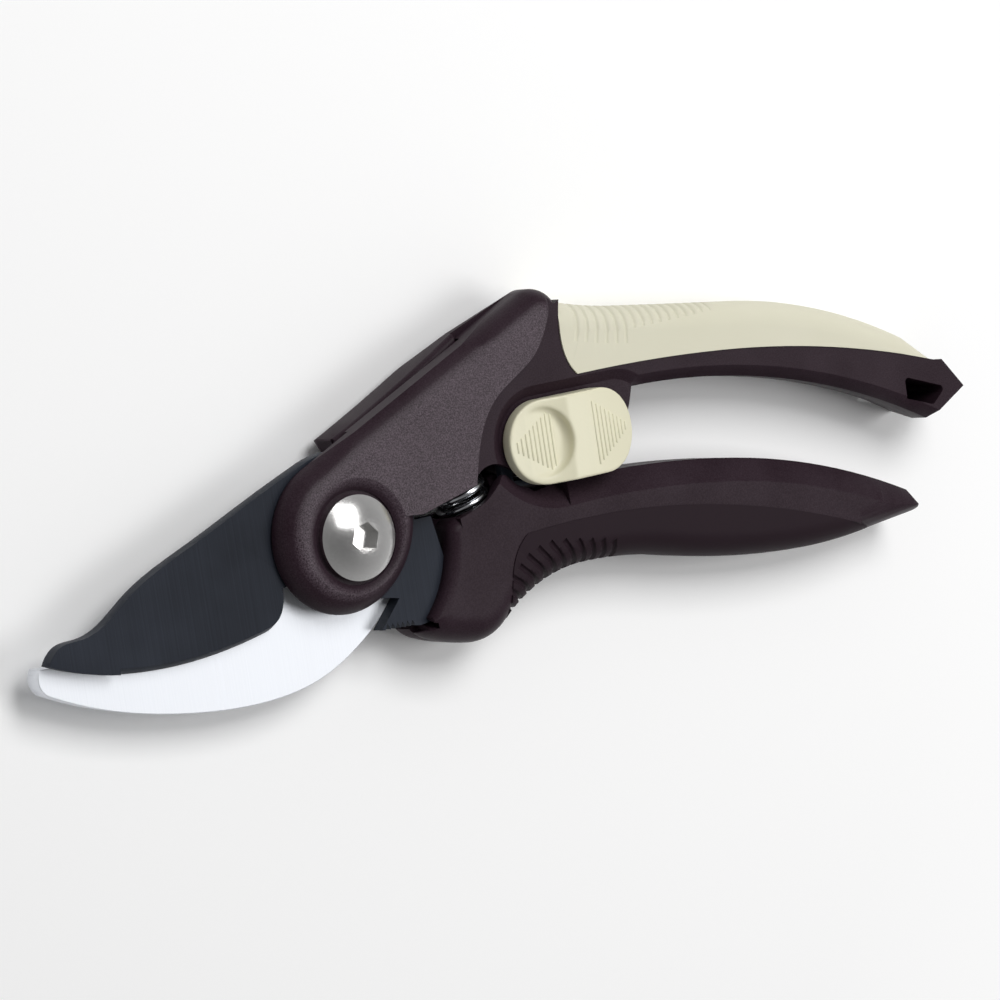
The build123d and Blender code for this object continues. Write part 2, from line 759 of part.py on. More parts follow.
with BuildPart() as lower_grip:
    with BuildSketch():
        with BuildLine():
            arc_chain(groove_heading, groove)
            Spline(notch_start, *lower_grip_front, groove[0])
            draw_lower_belly()
        make_face()
    extrude(amount=lower_top + lower_grip_proud)
    with BuildSketch(at(core_base)):
        with BuildLine():
            draw_lower_core()
        make_face()
    extrude(amount=lower_top - lower_core_cover - core_base, mode=Mode.SUBTRACT)
    for height, up in ((lower_top + lower_grip_proud, 1), (0, -1)):
        cut_edge(draw_lower_belly, height, grip_roll_width, grip_roll_drop, side=-1, up=up)
    with BuildLine() as belly:
        draw_lower_belly()
    grooves = []
    for index in range(rib_count):
        share = (rib_start + index * rib_pitch) / belly.wire().length
        outward = (belly.wire() % share).rotate(Axis.Z, -90)
        place = belly.wire() @ share + outward * (rib_radius - rib_depth)
        grooves.append((place.X, place.Y))
    cut_cylinders(grooves, rib_radius, 0, panel_top)


with BuildPart() as pivot_bolt:
    dome_sphere = (head_radius**2 + dome_height**2) / (2 * dome_height)
    dome_base = head_seat + head_rim
    with BuildSketch(Plane.XZ):
        with BuildLine():
            Polyline((0, bolt_tail), (bolt_radius, bolt_tail), (bolt_radius, head_seat),
                     (head_radius, head_seat), (head_radius, dome_base))
            RadiusArc((head_radius, dome_base), (0, dome_base + dome_height), -dome_sphere)
            Line((0, dome_base + dome_height), (0, bolt_tail))
        make_face()
    revolve(axis=Axis.Z)
    with BuildSketch(at(dome_base + dome_height)):
        RegularPolygon(socket_across_flats / 2, 6, major_radius=False, rotation=socket_turn)
    extrude(amount=-socket_depth, mode=Mode.SUBTRACT)


def ring(outer, inner, bottom, top):
    with BuildPart() as turned:
        with BuildSketch(at(bottom)):
            Circle(outer)
            Circle(inner, mode=Mode.SUBTRACT)
        extrude(amount=top - bottom)
    return turned


pivot_sleeve = ring(sleeve_radius, bolt_radius + turning_clearance, back_web, head_seat)
thrust_washer = ring(thrust_washer_radius, sleeve_radius + turning_clearance, blade_top, cheek_base)
nut_washer = ring(nut_washer_radius, bolt_radius + turning_clearance, nut_top, back_web)

with BuildPart() as lock_nut:
    with BuildSketch(at(nut_top - nut_height)):
        RegularPolygon(nut_across_flats / 2, 6, major_radius=False)
        Circle(bolt_radius + fixed_clearance, mode=Mode.SUBTRACT)
    extrude(amount=nut_height)


def rivets(points, bottom, top):
    with BuildPart() as pins:
        with BuildSketch(at(bottom)):
            with Locations(*points):
                Circle(rivet_radius)
        extrude(amount=top - bottom)
    return pins


counter_blade_rivets = rivets(counter_rivets, back_web - rivet_overlap, counter_blade_top + rivet_overlap)
blade_rivets = rivets(blade_rivets_at, blade_base - blade_rivet_overlap, blade_top + blade_rivet_overlap)


# Screws put in from behind, with a cross recess in the head
def shell_screws(points, parting):
    with BuildPart() as screws:
        with BuildSketch(at(screw_recess)):
            with Locations(*points):
                Circle(screw_head_radius)
        extrude(amount=screw_head_height)
        with BuildSketch(at(screw_recess)):
            with Locations(*points):
                Circle(screw_radius)
        extrude(amount=parting + screw_grip - screw_recess)
        with BuildSketch(at(screw_recess)):
            with Locations(*points):
                Rectangle(screw_cross[0], screw_cross[1])
                Rectangle(screw_cross[1], screw_cross[0])
        extrude(amount=screw_cross[2], mode=Mode.SUBTRACT)
    return screws


upper_shell_screws = shell_screws(upper_screws, counter_blade_top)
lower_shell_screws = shell_screws(lower_screws, blade_base)


def spring_seat(seat_plane):
    with BuildPart() as seat:
        with BuildSketch(seat_plane.offset(-seat_thickness)):
            Circle(seat_radius)
        extrude(amount=seat_thickness)
        with BuildSketch(seat_plane):
            Circle(seat_stem_radius)
        extrude(amount=seat_stem_length)
    return seat


upper_spring_seat = spring_seat(spring_head)
lower_spring_seat = spring_seat(spring_foot)

spring_rise_per_turn = (spring_above + spring_below - 2 * spring_end_height) / spring_turns


# A point on the spring's centre line, and the line's direction there
def spring_at(turns):
    angle = 2 * pi * turns
    place = (spring_mean_radius * cos(angle), spring_mean_radius * sin(angle),
             spring_end_height + spring_rise_per_turn * turns)
    slope = (-2 * pi * spring_mean_radius * sin(angle), 2 * pi * spring_mean_radius * cos(angle),
             spring_rise_per_turn)
    direction = spring_foot.from_local_coords(Vector(*slope)) - spring_foot.origin
    return spring_foot.from_local_coords(Vector(*place)), direction.normalized()


with BuildPart() as return_spring:
    stations = [spring_at(index / 4) for index in range(spring_turns * 4 + 1)]
    with BuildLine() as coil:
        first, first_direction = stations[0]
        Line(first - first_direction * spring_wire, first)
        for (start, leave), (end, arrive) in zip(stations, stations[1:]):
            chord = end - start
            bend = 2 * (1 - leave.dot(arrive))
            along = chord.dot(leave + arrive)
            reach = (sqrt(along**2 + bend * chord.dot(chord)) - along) / bend
            middle = (start + leave * reach + end - arrive * reach) / 2
            turn = TangentArc(start, middle, tangent=leave) % 1
            TangentArc(middle, end, tangent=turn)
        last, last_direction = stations[-1]
        Line(last, last + last_direction * spring_wire)
    with BuildSketch(Plane(coil.wire() @ 0, z_dir=coil.wire() % 0)):
        Circle(spring_wire / 2)
    sweep(path=coil.wire())

samples = [coil.wire().position_at(index / spring_samples) for index in range(spring_samples + 1)]
apart = spring_samples // spring_turns // 2
least = min((b - a).length for i, a in enumerate(samples) for b in samples[i + apart:])
print("spring: least gap", round(least - spring_wire, 2), "mm; volume over section x length",
      round(return_spring.part.volume / (pi * spring_wire**2 / 4 * coil.wire().length), 4))

button_base = plate_top + slide_gap
latch_face = cheek_base - slide_gap

with BuildPart() as lock_button:
    half = button_length / 2
    rise = button_crest - button_rim
    with BuildSketch(at(button_base)):
        with Locations(button_centre):
            SlotOverall(button_length, button_width)
    extrude(amount=button_crest)
    with BuildSketch(Plane((*button_centre, button_base), x_dir=(1, 0, 0), z_dir=(0, -1, 0))):
        with BuildLine():
            for side, crest_end, (reach, lift) in zip((-1, 1), button_crest_ends, button_shoulders):
                shoulder = (side * half * reach, button_rim + lift * rise)
                Spline((side * half, button_rim), shoulder, (crest_end, button_crest))
            Line((button_crest_ends[0], button_crest), (button_crest_ends[1], button_crest))
            Polyline((half, button_rim), (half, button_crest + spare), (-half, button_crest + spare),
                     (-half, button_rim))
        make_face()
    extrude(amount=button_width, both=True, mode=Mode.SUBTRACT)
    scoop_base = (button_centre[0] + scoop_offset, button_centre[1], button_base + scoop_floor)
    scoop_up = Vector(sin(radians(scoop_tilt)), 0, cos(radians(scoop_tilt)))
    with BuildSketch(Plane(scoop_base, x_dir=(0, 1, 0), z_dir=scoop_up.cross(Vector(0, 1, 0)) * -1)):
        with BuildLine():
            flat = scoop_radius - scoop_fillet
            Line((0, 0), (flat, 0))
            TangentArc((flat, 0), (scoop_radius, scoop_fillet), tangent=(1, 0))
            Polyline((scoop_radius, scoop_fillet), (scoop_radius, button_crest), (0, button_crest), (0, 0))
        make_face()
    revolve(axis=Axis(scoop_base, scoop_up), mode=Mode.SUBTRACT)
    with BuildSketch(at(latch_face)):
        with Locations(button_centre):
            Rectangle(stem_length, stem_width)
    extrude(amount=button_base - latch_face)
    screw_hole_top = latch_face - latch_thickness + lock_screw_length
    cut_cylinders([button_centre], lock_screw_radius, latch_face, screw_hole_top)


with BuildPart() as lock_latch:
    tooth_top = catch_underside - catch_clearance
    tooth_bottom = tooth_top - latch_tooth_height
    arm_right = latch_left + latch_arm_width
    tooth_right = arm_right + latch_tooth_reach
    with BuildSketch(at(latch_face - latch_thickness)):
        with BuildLine():
            Polyline((latch_left, latch_top), (latch_left, tooth_bottom), (tooth_right, tooth_bottom),
                     (tooth_right, tooth_top), (arm_right, tooth_top), (arm_right, latch_bottom),
                     (latch_right, latch_bottom), (latch_right, latch_top), close=True)
        make_face()
        for place in (button_centre[0], button_centre[0] - lock_travel):
            narrow, wide = notch_half_widths
            floor = latch_top - notch_depth
            with BuildLine():
                Polyline((place - wide, latch_top), (place - narrow, floor), (place + narrow, floor),
                         (place + wide, latch_top), close=True)
            make_face(mode=Mode.SUBTRACT)
    extrude(amount=latch_thickness)
    latch_hole = lock_screw_radius + screw_clearance
    cut_cylinders([button_centre], latch_hole, latch_face - latch_thickness, latch_face)


with BuildPart() as lock_screw:
    with BuildSketch(at(latch_face - latch_thickness)):
        with Locations(button_centre):
            Circle(lock_screw_radius)
    extrude(amount=lock_screw_length)
    with BuildSketch(at(latch_face - latch_thickness)):
        with Locations(button_centre):
            Circle(lock_screw_head_radius)
    extrude(amount=-lock_screw_head_height)


with BuildPart() as lock_detent:
    tip_half, root_half = leaf_bump_half_widths
    end_y = room_top - leaf_thickness
    root_y = end_y - leaf_sag
    leaf_side = [(leaf_length / 2, end_y), (root_half, root_y), (tip_half, root_y - leaf_bump_depth)]
    under = [(button_centre[0] - x, y) for x, y in leaf_side]
    under += [(button_centre[0] + x, y) for x, y in leaf_side[::-1]]
    over = [(x, y + leaf_thickness) for x, y in under]
    with BuildSketch(at(latch_face - latch_thickness / 2 - leaf_width / 2)):
        with BuildLine():
            Polyline(*under, *over[::-1], close=True)
        make_face()
    extrude(amount=leaf_width)


pieces = {
    "upper_front_shell": upper_front_shell,
    "upper_back_shell": upper_back_shell,
    "upper_grip": upper_grip,
    "counter_blade": counter_blade,
    "counter_blade_rivets": counter_blade_rivets,
    "upper_shell_screws": upper_shell_screws,
    "pivot_bolt": pivot_bolt,
    "pivot_sleeve": pivot_sleeve,
    "thrust_washer": thrust_washer,
    "nut_washer": nut_washer,
    "lock_nut": lock_nut,
    "upper_spring_seat": upper_spring_seat,
    "return_spring": return_spring,
    "lower_front_shell": lower_front_shell,
    "lower_back_shell": lower_back_shell,
    "lower_grip": lower_grip,
    "cutting_blade": cutting_blade,
    "blade_rivets": blade_rivets,
    "lower_shell_screws": lower_shell_screws,
    "lower_spring_seat": lower_spring_seat,
    "lock_button": lock_button,
    "lock_latch": lock_latch,
    "lock_screw": lock_screw,
    "lock_detent": lock_detent,
}
for name, piece in pieces.items():
    print(name, piece.part.is_valid, len(piece.part.solids()), round(piece.part.volume))
    piece.part.label = name
    export_step(piece.part, f"parts/{name}.step")
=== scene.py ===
import bpy
import bmesh
import json
from math import asin, cos, pi, radians, sin
from mathutils import Matrix, Vector
from mathutils.bvhtree import BVHTree


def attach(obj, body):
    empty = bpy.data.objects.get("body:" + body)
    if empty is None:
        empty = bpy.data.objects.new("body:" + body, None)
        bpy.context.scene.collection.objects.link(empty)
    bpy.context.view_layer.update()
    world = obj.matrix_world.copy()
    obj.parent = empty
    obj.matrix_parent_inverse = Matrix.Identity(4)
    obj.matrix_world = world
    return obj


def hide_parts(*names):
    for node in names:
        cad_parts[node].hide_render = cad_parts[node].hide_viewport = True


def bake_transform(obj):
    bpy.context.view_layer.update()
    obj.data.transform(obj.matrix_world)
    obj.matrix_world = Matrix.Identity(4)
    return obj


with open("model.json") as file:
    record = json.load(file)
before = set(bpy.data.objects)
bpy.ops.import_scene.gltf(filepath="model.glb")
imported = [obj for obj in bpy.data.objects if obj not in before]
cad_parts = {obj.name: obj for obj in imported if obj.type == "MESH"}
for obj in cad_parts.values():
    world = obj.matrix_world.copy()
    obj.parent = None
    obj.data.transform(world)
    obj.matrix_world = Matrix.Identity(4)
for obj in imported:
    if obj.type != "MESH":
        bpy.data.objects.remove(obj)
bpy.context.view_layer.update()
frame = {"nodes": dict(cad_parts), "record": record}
nodes = frame["nodes"]
scene = bpy.context.scene
mm = 0.001  # the settings below are in millimetres, the scene is in metres
mergeWithin = 0.002 * mm  # points closer than this are one point
print("frame loaded:", len(nodes), "nodes")


# small tools

def linear(hexColour):
    parts = [int(hexColour[i:i + 2], 16) / 255 for i in (1, 3, 5)]
    return tuple(c / 12.92 if c <= 0.04045 else ((c + 0.055) / 1.055) ** 2.4 for c in parts) + (1.0,)


# settings of a node: a source is linked, and any other value goes on the socket or the property of that name
def fillNode(tree, node, settings):
    for name, value in settings.items():
        if isinstance(value, bpy.types.NodeSocket):
            tree.links.new(value, node.inputs[name])
        elif isinstance(name, int) or name in node.inputs:
            node.inputs[name].default_value = value
        else:
            setattr(node, name, value)


def addNode(tree, kind, settings={}):
    node = tree.nodes.new("ShaderNode" + kind)
    fillNode(tree, node, settings)
    return node


def addNoise(tree, place, scale, detail, roughness=0.5):
    settings = {"Scale": scale, "Detail": detail, "Roughness": roughness, "Vector": place}
    return addNode(tree, "TexNoise", settings).outputs["Fac"]


def addMath(tree, operation, *values):
    return addNode(tree, "Math", {"operation": operation, **dict(enumerate(values))}).outputs[0]


# a value moved from one range to another
def addRange(tree, value, start, end):
    settings = {"From Min": start[0], "From Max": start[1], "To Min": end[0], "To Max": end[1],
                "Value": value}
    return addNode(tree, "MapRange", settings).outputs[0]


def addColours(tree, share, first, second):
    settings = {"data_type": "RGBA", 0: share, 6: linear(first), 7: linear(second)}
    return addNode(tree, "Mix", settings).outputs[2]


def addBump(tree, height, strength, depth):
    settings = {"Strength": strength, "Distance": depth * mm, "Height": height}
    return addNode(tree, "Bump", settings).outputs[0]


def newMaterial(name):
    material = bpy.data.materials.new(name)
    material.use_nodes = True
    tree = material.node_tree
    shader = tree.nodes["Principled BSDF"]
    place = addNode(tree, "TexCoord").outputs["Object"]
    return material, tree, shader, place


def newPiece(name, mesh, material, body):
    piece = bpy.data.objects.new(name, mesh)
    scene.collection.objects.link(piece)
    mesh.materials.clear()
    mesh.materials.append(material)
    if body:
        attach(piece, body)
    return piece


# a copy of a CAD node's mesh with its doubles merged
def mergedCopy(node):
    mesh = nodes[node].data.copy()
    bm = bmesh.new()
    bm.from_mesh(mesh)
    bmesh.ops.remove_doubles(bm, verts=bm.verts, dist=mergeWithin)
    bm.to_mesh(mesh)
    bm.free()
    return mesh


# the mesh after a list of modifiers, each given as (kind, settings)
def finished(mesh, modifiers):
    holder = bpy.data.objects.new("holder", mesh)
    scene.collection.objects.link(holder)
    for kind, settings in modifiers:
        modifier = holder.modifiers.new(kind.lower(), kind)
        for name, value in settings.items():
            setattr(modifier, name, value)
    bpy.context.view_layer.update()
    result = bpy.data.meshes.new_from_object(holder.evaluated_get(bpy.context.evaluated_depsgraph_get()))
    bpy.data.objects.remove(holder)
    return result


def smoothFaces(mesh, angle):
    mesh.polygons.foreach_set("use_smooth", [True] * len(mesh.polygons))
    mesh.set_sharp_from_angle(angle=radians(angle))


# camera: the photograph looks down on the face from the blades' side

cameraSet = {"at": (-376.5, 76.6, 601.7), "swing": 35.3, "roll": 10.5, "lens": 142.1, "sensor": 36.0,
             "clip": (0.01, 20)}


def placeCamera(s):
    swing, roll = radians(s["swing"]), radians(s["roll"])
    right = Vector((cos(roll) * cos(swing), -sin(roll) * cos(swing), sin(swing)))
    up = Vector((sin(roll), cos(roll), 0))
    back = right.cross(up)
    data = bpy.data.cameras.new("camera")
    data.lens = s["lens"]
    data.sensor_width = s["sensor"]
    data.clip_start, data.clip_end = s["clip"]
    camera = bpy.data.objects.new("camera", data)
    scene.collection.objects.link(camera)
    turn = Matrix((right, up, back)).transposed().to_4x4()
    camera.matrix_world = Matrix.Translation(Vector(s["at"]) * mm) @ turn
    scene.camera = camera


placeCamera(cameraSet)


# floor, lamps and world: a white sweep in soft light, with a broad lamp that the flat faces reflect
# the lamps are given as name, place in metres, size and power

lightSet = {"floor": "#ffffff", "floorSize": 12.0, "floorDrop": 0.05, "nearFloor": (0.15, 0.3),
            "horizon": 0.5, "zenith": 0.15, "aim": (0.04, 0.005, 0.01),
            "lamps": (("key", (0.5, -0.1, 0.75), 0.4, 2.2), ("window", (0.16, 0.5, 0.85), 0.5, 5.6))}


# matt white paper: even, no gloss, and far from the shears plain white to the camera and in reflections
def whitePaper(s):
    material, tree, shader, place = newMaterial("whitePaperFloor")
    fillNode(tree, shader, {"Base Color": linear(s["floor"]), "Roughness": 0.9, "Specular IOR Level": 0.0})
    away = addNode(tree, "VectorMath", {"operation": "LENGTH", 0: place}).outputs["Value"]
    far = addRange(tree, away, s["nearFloor"], (0.0, 1.0))
    ray = addNode(tree, "LightPath").outputs
    seen = addMath(tree, "MAXIMUM", ray["Is Camera Ray"], ray["Is Glossy Ray"])
    seenToo = addMath(tree, "MAXIMUM", seen, ray["Is Transmission Ray"])
    share = addMath(tree, "MULTIPLY", far, seenToo)
    glow = addNode(tree, "Emission", {"Color": (1, 1, 1, 1), "Strength": 1.0})
    mix = addNode(tree, "MixShader", {0: share, 1: shader.outputs[0], 2: glow.outputs[0]})
    fillNode(tree, tree.nodes["Material Output"], {"Surface": mix.outputs[0]})
    return material


# pale walls under a darker ceiling, and plain white where the camera sees past the floor
def paleWalls(s):
    world = bpy.data.worlds.new("studio")
    world.use_nodes = True
    tree = world.node_tree
    toSky = addNode(tree, "TexCoord").outputs["Generated"]
    upward = addNode(tree, "SeparateXYZ", {0: toSky}).outputs["Z"]
    fall = addRange(tree, upward, (0.0, 1.0), (s["horizon"], s["zenith"]))
    seenSky = addNode(tree, "LightPath").outputs["Is Camera Ray"]
    strength = addMath(tree, "MAXIMUM", fall, seenSky)
    fillNode(tree, tree.nodes["Background"], {"Color": (1, 1, 1, 1), "Strength": strength})
    return world


def lightScene(s):
    bm = bmesh.new()
    bmesh.ops.create_grid(bm, x_segments=1, y_segments=1, size=s["floorSize"] / 2)
    bmesh.ops.translate(bm, verts=bm.verts, vec=(0, 0, -s["floorDrop"] * mm))
    mesh = bpy.data.meshes.new("floor")
    bm.to_mesh(mesh)
    bm.free()
    mesh.materials.append(whitePaper(s))
    floor = bpy.data.objects.new("floor", mesh)
    scene.collection.objects.link(floor)
    scene.world = paleWalls(s)
    for name, at, size, power in s["lamps"]:
        data = bpy.data.lights.new(name, "AREA")
        data.energy = power
        data.size = size
        lamp = bpy.data.objects.new(name, data)
        scene.collection.objects.link(lamp)
        lamp.location = at
        lamp.rotation_euler = (Vector(s["aim"]) - Vector(at)).to_track_quat("-Z", "Y").to_euler()
    scene.view_settings.view_transform = "Standard"


lightScene(lightSet)
print("camera and light placed")


# materials

plasticSet = {"colour": "#21131b", "pale": "#63565f", "grain": 0.27, "roughness": 0.46,
              "panel": (15.2, 15.95), "gloss": (0.08, 0.26), "speck": (0.36, 0.7), "cloud": 0.2,
              "tint": (0.05, 1.1)}


# moulded ABS, spark-eroded tool: aubergine, a sandy grain on the raised panel and a finer one elsewhere
def mouldedAbs(s):
    material, tree, shader, place = newMaterial("mouldedAbsAubergine")
    height = addNode(tree, "SeparateXYZ", {0: place}).outputs["Z"]
    panel = addRange(tree, height, [z * mm for z in s["panel"]], (0.0, 1.0))
    sand = addNoise(tree, place, 1000 / s["grain"], 2.0, 0.6)
    cloud = addNoise(tree, place, 90.0, 3.0)
    speck = addRange(tree, sand, s["speck"], (0.0, 1.0))
    amount = addMath(tree, "MULTIPLY_ADD", panel, 0.75, 0.12)
    grit = addMath(tree, "MULTIPLY", speck, amount)
    tint = addMath(tree, "MULTIPLY_ADD", cloud, s["cloud"], grit)
    share = addRange(tree, tint, s["tint"], (0.0, 1.0))
    strength = addMath(tree, "MULTIPLY_ADD", panel, 0.5, 0.12)
    fillNode(tree, shader, {
        "Base Color": addColours(tree, share, s["colour"], s["pale"]),
        "Roughness": addRange(tree, grit, (0.0, 1.0), (s["roughness"] - 0.05, s["roughness"] + 0.12)),
        "Normal": addBump(tree, sand, strength, 0.12),
        "Specular IOR Level": addRange(tree, panel, (0.0, 1.0), s["gloss"]),
        "IOR": 1.53})
    return material


# soft thermoplastic rubber and plain mouldings: matt, with a fine moulded skin and slightly paler high spots
def softRubber(name, colour, pale, roughness, grain, gloss):
    material, tree, shader, place = newMaterial(name)
    skin = addNoise(tree, place, 1000 / grain, 3.0)
    cloud = addNoise(tree, place, 60.0, 4.0)
    fillNode(tree, shader, {
        "Base Color": addColours(tree, cloud, colour, pale),
        "Roughness": addRange(tree, cloud, (0.0, 1.0), (roughness - 0.06, roughness + 0.06)),
        "Normal": addBump(tree, skin, 0.15, 0.06),
        "Specular IOR Level": gloss,
        "IOR": 1.5})
    return material


steelSet = {"blade": ("#1f2229", "#30343d"), "bladeLines": 0.35,
            "hook": ("#dcdfe4", "#ebedf1"), "hookLines": 0.3}


# low-friction coating over ground steel: charcoal, satin, the grinding lines still showing across the blade
def coatedSteel(s):
    material, tree, shader, place = newMaterial("coatedGroundSteel")
    stretch = addNode(tree, "Mapping", {"Scale": (1000 / s["bladeLines"], 12.0, 12.0), "Vector": place})
    lines = addNoise(tree, stretch.outputs[0], 1.0, 3.0)
    cloud = addNoise(tree, place, 45.0, 3.0)
    both = addMath(tree, "MULTIPLY_ADD", lines, 0.5, cloud)
    tone = addRange(tree, both, (0.5, 1.0), (0.0, 1.0))
    fillNode(tree, shader, {
        "Base Color": addColours(tree, tone, *s["blade"]),
        "Roughness": addRange(tree, lines, (0.0, 1.0), (0.38, 0.5)),
        "Normal": addBump(tree, lines, 0.12, 0.05),
        "Specular IOR Level": 0.08,
        "IOR": 1.45})
    return material


# bare steel: bright, with fine lines from the grinding belt or the drawing die
def bareSteel(name, dark, pale, roughness, lineWidth, along):
    material, tree, shader, place = newMaterial(name)
    scale = [1000 / lineWidth] * 3
    scale[along] = 15.0
    stretch = addNode(tree, "Mapping", {"Scale": scale, "Vector": place})
    lines = addNoise(tree, stretch.outputs[0], 1.0, 2.0)
    fillNode(tree, shader, {
        "Base Color": addColours(tree, lines, dark, pale),
        "Roughness": addRange(tree, lines, (0.0, 1.0), (roughness - 0.05, roughness + 0.07)),
        "Normal": addBump(tree, lines, 0.08, 0.03),
        "Metallic": 1.0})
    return material


aubergineAbs = mouldedAbs(plasticSet)
aubergineRubber = softRubber("softRubberAubergine", "#20141b", "#261a21", 0.6, 0.4, 0.12)
creamRubber = softRubber("softRubberCream", "#d2cfb9", "#d9d6c3", 0.55, 0.4, 0.3)
creamAcetal = softRubber("mouldedAcetalCream", "#dcd8bb", "#e2dec5", 0.36, 0.5, 0.4)
blackNylon = softRubber("mouldedNylonBlack", "#0e0e0e", "#141414", 0.5, 0.4, 0.15)
bladeSteel = coatedSteel(steelSet)
hookSteel = bareSteel("groundSteel", *steelSet["hook"], 0.58, steelSet["hookLines"], 1)
boltChrome = bareSteel("polishedChrome", "#dad9d8", "#e4e3e2", 0.2, 0.4, 2)
plainSteel = bareSteel("zincPlatedSteel", "#a4a6aa", "#bcbec2", 0.32, 0.3, 2)
springSteel = bareSteel("drawnSpringWire", "#b4b6ba", "#d0d2d6", 0.22, 0.3, 0)
finishes = {"aubergine_plastic": aubergineAbs, "aubergine_soft": aubergineRubber, "cream_soft": creamRubber,
            "cream_plastic": creamAcetal, "black_plastic": blackNylon, "coated_steel": bladeSteel,
            "ground_steel": hookSteel, "polished_bolt": boltChrome, "plain_steel": plainSteel,
            "spring_wire": springSteel}
for entry in frame["record"]["subparts"]:
    part = nodes[entry["node"]]
    part.data.materials.clear()
    part.data.materials.append(finishes[entry["material_slot"]])
print("materials made:", len(finishes))


# CAD nodes: the moulded and ground edges get a small radius

edgeSet = {"upper_front_shell": 0.3, "upper_back_shell": 0.3, "lower_front_shell": 0.3,
           "lower_back_shell": 0.3, "cutting_blade": 0.12, "counter_blade": 0.15}


def softenEdges(widths):
    for name, width in widths.items():
        part = nodes[name]
        weld = part.modifiers.new("weld", "WELD")
        weld.merge_threshold = mergeWithin
        bevel = part.modifiers.new("bevel", "BEVEL")
        bevel.width = width * mm
        bevel.segments = 2
        bevel.limit_method = "ANGLE"
        bevel.angle_limit = radians(32)
        bevel.harden_normals = True


softenEdges(edgeSet)
print("edges softened:", len(edgeSet))


# grooves: round channels that run over a grip's rolled edge, from its face to its back

grooveRoll = {"width": 5.0, "drop": 4.5, "segments": 10, "steps": 8, "seam": 0.35}


# the channel's middle stands off the grip by the lift, which makes it wide and shallow
def addGroove(bm, edge, outward, length, stretch, s, roll):
    top, lift = s["top"], s["lift"]
    width = roll["width"] * stretch
    bend = (width ** 2 + roll["drop"] ** 2) / (2 * roll["drop"])
    turn = asin(width / bend)
    axis = Vector((0, 0, 1)).cross(outward)
    inner = edge - outward * (width - lift) * mm
    flat = max(length - width, 0)
    skipped = asin(max(width - length, 0) / bend)
    upperPin = inner + Vector((0, 0, (top + lift - bend) * mm))
    lowerPin = inner + Vector((0, 0, (bend - lift) * mm))
    facing = outward.to_track_quat("Z", "Y").to_matrix().to_4x4()
    start = Matrix.Translation(inner - outward * flat * mm + Vector((0, 0, (top + lift) * mm))) @ facing
    circle = bmesh.ops.create_circle(bm, segments=roll["segments"], radius=s["radius"] * mm, matrix=start)
    ring = circle["verts"]
    bmesh.ops.rotate(bm, verts=ring, cent=upperPin, matrix=Matrix.Rotation(skipped, 3, axis))
    ends = [e for e in bm.edges if all(v in set(ring) for v in e.verts)]

    def drawOut(edges, vec):
        made = bmesh.ops.extrude_edge_only(bm, edges=edges)["geom"]
        bmesh.ops.translate(bm, verts=[g for g in made if isinstance(g, bmesh.types.BMVert)], vec=vec)
        return [g for g in made if isinstance(g, bmesh.types.BMEdge) and all(v in made for v in g.verts)]

    def bendOut(edges, pin, angle):
        made = bmesh.ops.spin(bm, geom=edges, cent=pin, axis=axis, angle=angle, steps=roll["steps"],
                              use_duplicate=False)
        return [g for g in made["geom_last"] if isinstance(g, bmesh.types.BMEdge)]

    first = ends
    if flat:
        ends = drawOut(ends, outward * flat * mm)
    ends = bendOut(ends, upperPin, turn - skipped)
    ends = drawOut(ends, Vector((0, 0, -(top + 2 * lift - 2 * roll["drop"]) * mm)))
    ends = bendOut(ends, lowerPin, turn - skipped)
    if flat:
        ends = drawOut(ends, -outward * flat * mm)
    for loop in (first, ends):
        bmesh.ops.contextual_create(bm, geom=loop)


# the grip's mesh with its border softened and its grooves cut
def groovedGrip(node, grooves, s):
    cutter = bmesh.new()
    for edge, outward, length, stretch in grooves:
        addGroove(cutter, edge, outward, length, stretch, s, grooveRoll)
    bmesh.ops.recalc_face_normals(cutter, faces=cutter.faces)
    tool = bpy.data.objects.new("grooves", bpy.data.meshes.new("grooves"))
    cutter.to_mesh(tool.data)
    cutter.free()
    scene.collection.objects.link(tool)
    mesh = finished(mergedCopy(node), [
        ("BEVEL", {"width": grooveRoll["seam"] * mm, "segments": 2, "limit_method": "ANGLE",
                   "angle_limit": radians(40)}),
        ("BOOLEAN", {"operation": "DIFFERENCE", "object": tool, "solver": "EXACT"})])
    bpy.data.objects.remove(tool)
    smoothFaces(mesh, 35)
    return mesh


# upper grip: cream soft rubber, its thumb grooves long at the hump and shorter along the back

upperGripSet = {"first": 56.2, "pitch": 2.1, "count": 16, "longCount": 6, "long": 7.4, "short": (4.6, 1.6),
                "top": 14.9, "radius": 0.55, "lift": 0.25, "beyond": 80}


def upperGripGrooves(s):
    bm = bmesh.new()
    bm.from_mesh(mergedCopy("upper_grip"))
    tree = BVHTree.FromBMesh(bm)
    bm.free()
    grooves = []
    for index in range(s["count"]):
        start = Vector((s["first"] + index * s["pitch"], s["beyond"], s["top"] / 2)) * mm
        hit, normal, face, distance = tree.ray_cast(start, Vector((0, -1, 0)))
        left = max(index - s["longCount"], 0) / (s["count"] - 1 - s["longCount"])
        shorter = s["short"][0] + (s["short"][1] - s["short"][0]) * left
        length = s["long"] if index < s["longCount"] else shorter
        outward = Vector((normal.x, normal.y, 0)).normalized()
        grooves.append((Vector((hit.x, hit.y, 0)), outward, length, 1.0))
    return grooves


upperGripMesh = groovedGrip("upper_grip", upperGripGrooves(upperGripSet), upperGripSet)
upperGrip = newPiece("creamUpperGrip", upperGripMesh, creamRubber, "upper_handle")
upperGrip.modifiers.new("evenShading", "WEIGHTED_NORMAL").keep_sharp = True
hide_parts("upper_grip")
print("upper grip:", len(upperGrip.data.polygons), "faces")


# lower grip: the finger notch's grooves slant forward over the face
# the notch's edge is two arcs, given as centre, radius and heading

